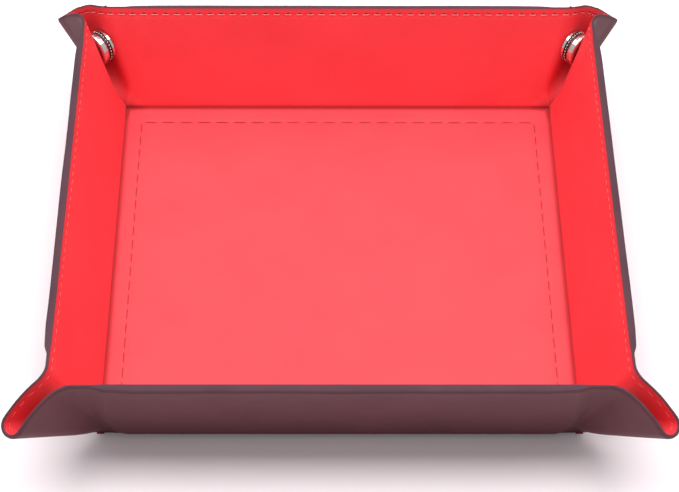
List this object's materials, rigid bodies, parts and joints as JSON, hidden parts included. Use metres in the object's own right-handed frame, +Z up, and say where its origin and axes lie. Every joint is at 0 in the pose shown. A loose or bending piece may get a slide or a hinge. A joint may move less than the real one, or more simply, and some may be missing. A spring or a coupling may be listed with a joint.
{
  "type": "folding dice tray",
  "caption": "Square folding dice tray of lined imitation leather, with pinched ears at the corners held by press studs.",
  "frame": {"origin": "centre of the base's underside, on the surface that the tray stands on", "axes": "+Z up out of the tray, +X to its right and +Y to its back, square to the walls"},
  "size_m": [0.205, 0.205, 0.0378],
  "materials": {
    "outer_leather": "satin dark purple-brown imitation leather, fine grain",
    "lining_leather": "satin red imitation leather, fine grain",
    "stiffener_board": "matt grey-brown pressed card",
    "thread": "twisted red polyester thread",
    "snap_metal": "polished nickel plate"
  },
  "bodies": {
    "base": {"base_board": "stiffener_board", "base_cover": "outer_leather", "base_lining": "lining_leather", "base_stitching": "thread"},
    "left_wall": {"left_wall_board": "stiffener_board", "left_wall_cover": "outer_leather", "left_wall_lining": "lining_leather", "left_wall_stitching": "thread"},
    "right_wall": {"right_wall_board": "stiffener_board", "right_wall_cover": "outer_leather", "right_wall_lining": "lining_leather", "right_wall_stitching": "thread"},
    "front_wall": {"front_wall_board": "stiffener_board", "front_wall_cover": "outer_leather", "front_wall_lining": "lining_leather", "front_wall_stitching": "thread"},
    "back_wall": {"back_wall_board": "stiffener_board", "back_wall_cover": "outer_leather", "back_wall_lining": "lining_leather", "back_wall_stitching": "thread"},
    "front_left_side_ear": {"front_left_side_ear_cover": "outer_leather", "front_left_side_ear_lining": "lining_leather", "front_left_socket": "snap_metal", "front_left_socket_rivet": "snap_metal", "front_left_socket_spring": "snap_metal"},
    "front_left_end_ear": {"front_left_end_ear_cover": "outer_leather", "front_left_end_ear_lining": "lining_leather", "front_left_stud": "snap_metal", "front_left_stud_rivet": "snap_metal"},
    "front_right_side_ear": {"front_right_side_ear_cover": "outer_leather", "front_right_side_ear_lining": "lining_leather", "front_right_socket": "snap_metal", "front_right_socket_rivet": "snap_metal", "front_right_socket_spring": "snap_metal"},
    "front_right_end_ear": {"front_right_end_ear_cover": "outer_leather", "front_right_end_ear_lining": "lining_leather", "front_right_stud": "snap_metal", "front_right_stud_rivet": "snap_metal"},
    "back_left_side_ear": {"back_left_side_ear_cover": "outer_leather", "back_left_side_ear_lining": "lining_leather", "back_left_socket": "snap_metal", "back_left_socket_rivet": "snap_metal", "back_left_socket_spring": "snap_metal"},
    "back_left_end_ear": {"back_left_end_ear_cover": "outer_leather", "back_left_end_ear_lining": "lining_leather", "back_left_stud": "snap_metal", "back_left_stud_rivet": "snap_metal"},
    "back_right_side_ear": {"back_right_side_ear_cover": "outer_leather", "back_right_side_ear_lining": "lining_leather", "back_right_socket": "snap_metal", "back_right_socket_rivet": "snap_metal", "back_right_socket_spring": "snap_metal"},
    "back_right_end_ear": {"back_right_end_ear_cover": "outer_leather", "back_right_end_ear_lining": "lining_leather", "back_right_stud": "snap_metal", "back_right_stud_rivet": "snap_metal"}
  },
  "joints": [
    {"name": "left_wall_fold", "type": "hinge", "parent": "base", "child": "left_wall", "pos_m": [-0.075, 0, 0.0026], "axis": [0, -1, 0], "range_deg": [0, 69]},
    {"name": "right_wall_fold", "type": "hinge", "parent": "base", "child": "right_wall", "pos_m": [0.075, 0, 0.0026], "axis": [0, 1, 0], "range_deg": [0, 69]},
    {"name": "front_wall_fold", "type": "hinge", "parent": "base", "child": "front_wall", "pos_m": [0, -0.075, 0.0026], "axis": [1, 0, 0], "range_deg": [0, 69]},
    {"name": "back_wall_fold", "type": "hinge", "parent": "base", "child": "back_wall", "pos_m": [0, 0.075, 0.0026], "axis": [-1, 0, 0], "range_deg": [0, 69]},
    {"name": "front_left_side_ear_fold", "type": "hinge", "parent": "left_wall", "child": "front_left_side_ear", "pos_m": [-0.075, -0.07118, 0.0026], "axis": [-0.3236, -0.3236, 0.8891], "range_deg": [0, 47.69]},
    {"name": "front_left_end_ear_fold", "type": "hinge", "parent": "front_left_side_ear", "child": "front_left_end_ear", "pos_m": [-0.07576, -0.07576, 0.00205], "axis": [0.5673, 0.5673, -0.5969], "range_deg": [0, 177.45]},
    {"name": "front_right_side_ear_fold", "type": "hinge", "parent": "right_wall", "child": "front_right_side_ear", "pos_m": [0.075, -0.07118, 0.0026], "axis": [-0.3236, 0.3236, -0.8891], "range_deg": [0, 47.69]},
    {"name": "front_right_end_ear_fold", "type": "hinge", "parent": "front_right_side_ear", "child": "front_right_end_ear", "pos_m": [0.07576, -0.07576, 0.00205], "axis": [0.5673, -0.5673, 0.5969], "range_deg": [0, 177.45]},
    {"name": "back_left_side_ear_fold", "type": "hinge", "parent": "left_wall", "child": "back_left_side_ear", "pos_m": [-0.075, 0.07118, 0.0026], "axis": [0.3236, -0.3236, -0.8891], "range_deg": [0, 47.69]},
    {"name": "back_left_end_ear_fold", "type": "hinge", "parent": "back_left_side_ear", "child": "back_left_end_ear", "pos_m": [-0.07576, 0.07576, 0.00205], "axis": [-0.5673, 0.5673, 0.5969], "range_deg": [0, 177.45]},
    {"name": "back_right_side_ear_fold", "type": "hinge", "parent": "right_wall", "child": "back_right_side_ear", "pos_m": [0.075, 0.07118, 0.0026], "axis": [0.3236, 0.3236, 0.8891], "range_deg": [0, 47.69]},
    {"name": "back_right_end_ear_fold", "type": "hinge", "parent": "back_right_side_ear", "child": "back_right_end_ear", "pos_m": [0.07576, 0.07576, 0.00205], "axis": [-0.5673, -0.5673, -0.5969], "range_deg": [0, 177.45]}
  ],
  "couplings": [
    {"joint": "right_wall_fold", "follows": "left_wall_fold", "ratio": 1},
    {"joint": "front_wall_fold", "follows": "left_wall_fold", "ratio": 1},
    {"joint": "back_wall_fold", "follows": "left_wall_fold", "ratio": 1},
    {"joint": "front_left_side_ear_fold", "follows": "left_wall_fold", "ratio": 0.69084},
    {"joint": "front_left_end_ear_fold", "follows": "left_wall_fold", "ratio": 2.5714},
    {"joint": "front_right_side_ear_fold", "follows": "left_wall_fold", "ratio": 0.69084},
    {"joint": "front_right_end_ear_fold", "follows": "left_wall_fold", "ratio": 2.5714},
    {"joint": "back_left_side_ear_fold", "follows": "left_wall_fold", "ratio": 0.69084},
    {"joint": "back_left_end_ear_fold", "follows": "left_wall_fold", "ratio": 2.5714},
    {"joint": "back_right_side_ear_fold", "follows": "left_wall_fold", "ratio": 0.69084},
    {"joint": "back_right_end_ear_fold", "follows": "left_wall_fold", "ratio": 2.5714}
  ]
}
